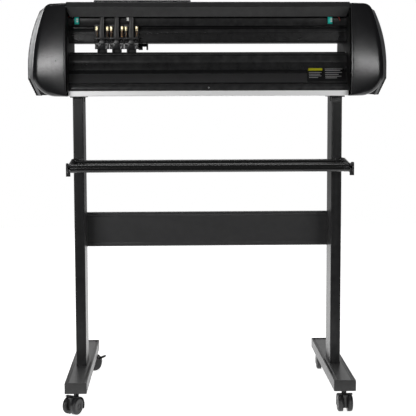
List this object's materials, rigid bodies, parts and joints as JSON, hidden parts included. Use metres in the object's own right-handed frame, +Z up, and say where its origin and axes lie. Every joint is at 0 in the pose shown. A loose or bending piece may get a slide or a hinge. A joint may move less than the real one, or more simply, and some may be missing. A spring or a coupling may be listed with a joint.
{
  "type": "vinyl cutter",
  "caption": "Floor-standing roll-fed vinyl cutter: a wide head with sliding pinch rollers and a belt-driven blade carriage on a wheeled stand.",
  "frame": {"origin": "on the floor, under the middle of the bounding box", "axes": "+Z up; +X along the machine, to the right of someone facing the media side; +Y towards the operator's side"},
  "size_m": [0.958, 0.52, 1.0703],
  "materials": {
    "black_paint": "satin powder coat",
    "black_anodised": "black anodised, satin",
    "foot_anodised": "dark anodised extrusion",
    "black_plastic": "fine moulded grain",
    "gray_plastic": "satin moulded",
    "grip_rubber": "ribbed, matt",
    "bare_aluminium": "brushed bare extrusion",
    "steel": "ground",
    "grit_steel": "knurled bands",
    "caster_nylon": "moulded nylon",
    "pinch_paint": "moulded",
    "pinch_rubber": "ground rubber",
    "spring_brass": "drawn wire",
    "belt_rubber": "toothed belt",
    "carriage_paint": "satin",
    "tool_steel": "turned",
    "holder_blue": "anodised, knurled",
    "motor_black": "laminated stack",
    "board_green": "solder mask",
    "connector_teal": "moulded",
    "overlay": "printed membrane",
    "switch_gloss": "polished"
  },
  "bodies": {
    "root": {"feet": "foot_anodised", "foot_end_caps": "black_plastic", "uprights": "black_paint", "crossbar": "black_paint", "head_mount_plates": "black_paint", "stand_screws": "steel", "roll_arms": "black_paint", "base_extrusion": "bare_aluminium", "side_plates": "black_paint", "end_cap_left": "black_plastic", "end_cap_right": "black_plastic", "side_panel_left": "gray_plastic", "side_panel_right": "gray_plastic", "side_grips": "grip_rubber", "beam": "black_anodised", "guide_rail": "steel", "top_cover": "black_paint", "platen": "black_anodised", "rear_apron": "black_anodised", "front_apron": "black_anodised", "control_panel": "black_plastic", "keypad": "overlay", "power_inlet": "black_plastic", "circuit_boards": "board_green", "beam_connectors": "connector_teal", "shaft_bearings": "steel", "motors": "motor_black", "belts": "belt_rubber"},
    "media_roller_front": {"media_roller_front": "black_anodised"},
    "media_roller_rear": {"media_roller_rear": "black_anodised"},
    "caster_front_left": {"caster_fork_front_left": "caster_nylon"},
    "wheels_front_left": {"caster_wheels_front_left": "caster_nylon"},
    "caster_front_right": {"caster_fork_front_right": "caster_nylon"},
    "wheels_front_right": {"caster_wheels_front_right": "caster_nylon"},
    "caster_back_left": {"caster_fork_back_left": "caster_nylon"},
    "wheels_back_left": {"caster_wheels_back_left": "caster_nylon"},
    "brake_back_left": {"caster_brake_back_left": "caster_nylon"},
    "caster_back_right": {"caster_fork_back_right": "caster_nylon"},
    "wheels_back_right": {"caster_wheels_back_right": "caster_nylon"},
    "brake_back_right": {"caster_brake_back_right": "caster_nylon"},
    "power_switch": {"power_switch": "switch_gloss"},
    "feed_shaft": {"grit_shaft": "grit_steel"},
    "feed_motor_shaft": {"feed_motor_pulley": "steel"},
    "carriage": {"carriage": "carriage_paint"},
    "drive_pulley": {"drive_pulley": "steel"},
    "idler_pulley": {"idler_pulley": "steel"},
    "tool_plunger": {"tool_clamp": "tool_steel"},
    "blade": {"blade_holder": "holder_blue"},
    "pinch_slider_1": {"pinch_bracket_1": "pinch_paint", "pinch_springs_1": "spring_brass"},
    "pinch_fork_1": {"pinch_fork_1": "pinch_paint"},
    "pinch_wheel_1": {"pinch_wheel_1": "pinch_rubber"},
    "pinch_slider_2": {"pinch_bracket_2": "pinch_paint", "pinch_springs_2": "spring_brass"},
    "pinch_fork_2": {"pinch_fork_2": "pinch_paint"},
    "pinch_wheel_2": {"pinch_wheel_2": "pinch_rubber"},
    "pinch_slider_3": {"pinch_bracket_3": "pinch_paint", "pinch_springs_3": "spring_brass"},
    "pinch_fork_3": {"pinch_fork_3": "pinch_paint"},
    "pinch_wheel_3": {"pinch_wheel_3": "pinch_rubber"}
  },
  "joints": [
    {"name": "media_roller_front_spin", "type": "hinge", "parent": "root", "child": "media_roller_front", "pos_m": [0, -0.238, 0.639], "axis": [1, 0, 0], "continuous": true},
    {"name": "media_roller_rear_spin", "type": "hinge", "parent": "root", "child": "media_roller_rear", "pos_m": [0, -0.089, 0.639], "axis": [1, 0, 0], "continuous": true},
    {"name": "caster_front_left_swivel", "type": "hinge", "parent": "root", "child": "caster_front_left", "pos_m": [-0.3495, -0.213, 0.055], "axis": [0, 0, 1], "continuous": true},
    {"name": "caster_front_left_roll", "type": "hinge", "parent": "caster_front_left", "child": "wheels_front_left", "pos_m": [-0.3575, -0.22686, 0.0225], "axis": [0.866, -0.5, 0], "continuous": true},
    {"name": "caster_front_right_swivel", "type": "hinge", "parent": "root", "child": "caster_front_right", "pos_m": [0.3495, -0.213, 0.055], "axis": [0, 0, 1], "continuous": true},
    {"name": "caster_front_right_roll", "type": "hinge", "parent": "caster_front_right", "child": "wheels_front_right", "pos_m": [0.3495, -0.229, 0.0225], "axis": [1, 0, 0], "continuous": true},
    {"name": "caster_back_left_swivel", "type": "hinge", "parent": "root", "child": "caster_back_left", "pos_m": [-0.3495, 0.225, 0.055], "axis": [0, 0, 1], "continuous": true},
    {"name": "caster_back_left_roll", "type": "hinge", "parent": "caster_back_left", "child": "wheels_back_left", "pos_m": [-0.3335, 0.225, 0.0225], "axis": [0, 1, 0], "continuous": true},
    {"name": "caster_back_left_brake", "type": "hinge", "parent": "caster_back_left", "child": "brake_back_left", "pos_m": [-0.3255, 0.225, 0.0365], "axis": [0, 1, 0], "range_deg": [0, 8]},
    {"name": "caster_back_right_swivel", "type": "hinge", "parent": "root", "child": "caster_back_right", "pos_m": [0.3495, 0.225, 0.055], "axis": [0, 0, 1], "continuous": true},
    {"name": "caster_back_right_roll", "type": "hinge", "parent": "caster_back_right", "child": "wheels_back_right", "pos_m": [0.3495, 0.209, 0.0225], "axis": [1, 0, 0], "continuous": true},
    {"name": "caster_back_right_brake", "type": "hinge", "parent": "caster_back_right", "child": "brake_back_right", "pos_m": [0.3495, 0.201, 0.0365], "axis": [1, 0, 0], "range_deg": [0, 8]},
    {"name": "power_switch_rock", "type": "hinge", "parent": "root", "child": "power_switch", "pos_m": [-0.474, -0.026, 0.882], "axis": [0, 1, 0], "range_deg": [0, 10]},
    {"name": "feed_shaft_spin", "type": "hinge", "parent": "root", "child": "feed_shaft", "pos_m": [0, -0.0762, 0.92493], "axis": [1, 0, 0], "continuous": true},
    {"name": "feed_motor_spin", "type": "hinge", "parent": "root", "child": "feed_motor_shaft", "pos_m": [0.3775, -0.026, 0.879], "axis": [1, 0, 0], "continuous": true},
    {"name": "carriage_slide", "type": "slide", "parent": "root", "child": "carriage", "axis": [1, 0, 0], "range_m": [-0.145, 0.5]},
    {"name": "drive_pulley_spin", "type": "hinge", "parent": "root", "child": "drive_pulley", "pos_m": [0.4, 0.016, 0.998], "axis": [0, 1, 0], "range_deg": [-3600, 1050]},
    {"name": "idler_pulley_spin", "type": "hinge", "parent": "root", "child": "idler_pulley", "pos_m": [-0.392, 0.016, 0.998], "axis": [0, 1, 0], "range_deg": [-3600, 1050]},
    {"name": "tool_plunge", "type": "slide", "parent": "carriage", "child": "tool_plunger", "axis": [0, 0, -1], "range_m": [0, 0.017], "stiffness_N_per_m": 150, "springref_m": -0.004},
    {"name": "blade_swivel", "type": "hinge", "parent": "tool_plunger", "child": "blade", "pos_m": [-0.17155, 0.058, 0.975], "axis": [0, 0, 1], "continuous": true},
    {"name": "pinch_1_slide", "type": "slide", "parent": "root", "child": "pinch_slider_1", "axis": [1, 0, 0], "range_m": [-0.04, 0.1]},
    {"name": "pinch_1_lift", "type": "slide", "parent": "pinch_slider_1", "child": "pinch_fork_1", "axis": [0, 0, 1], "range_m": [0, 0.004], "stiffness_N_per_m": 600, "springref_m": -0.004, "deforming": ["pinch_springs_1"]},
    {"name": "pinch_1_spin", "type": "hinge", "parent": "pinch_fork_1", "child": "pinch_wheel_1", "pos_m": [-0.2795, -0.08388, 0.93823], "axis": [1, 0, 0], "continuous": true},
    {"name": "pinch_2_slide", "type": "slide", "parent": "pinch_slider_1", "child": "pinch_slider_2", "axis": [1, 0, 0], "range_m": [0, 0.2]},
    {"name": "pinch_2_lift", "type": "slide", "parent": "pinch_slider_2", "child": "pinch_fork_2", "axis": [0, 0, 1], "range_m": [0, 0.004], "stiffness_N_per_m": 600, "springref_m": -0.004, "deforming": ["pinch_springs_2"]},
    {"name": "pinch_2_spin", "type": "hinge", "parent": "pinch_fork_2", "child": "pinch_wheel_2", "pos_m": [-0.241, -0.08388, 0.93823], "axis": [1, 0, 0], "continuous": true},
    {"name": "pinch_3_slide", "type": "slide", "parent": "pinch_slider_2", "child": "pinch_slider_3", "axis": [1, 0, 0], "range_m": [0, 0.195]},
    {"name": "pinch_3_lift", "type": "slide", "parent": "pinch_slider_3", "child": "pinch_fork_3", "axis": [0, 0, 1], "range_m": [0, 0.004], "stiffness_N_per_m": 600, "springref_m": -0.004, "deforming": ["pinch_springs_3"]},
    {"name": "pinch_3_spin", "type": "hinge", "parent": "pinch_fork_3", "child": "pinch_wheel_3", "pos_m": [-0.2025, -0.08388, 0.93823], "axis": [1, 0, 0], "continuous": true}
  ],
  "couplings": [
    {"joint": "feed_motor_spin", "follows": "feed_shaft_spin", "ratio": 2.2245},
    {"joint": "drive_pulley_spin", "follows": "carriage_slide", "rad_per_m": -125},
    {"joint": "idler_pulley_spin", "follows": "carriage_slide", "rad_per_m": -125}
  ]
}
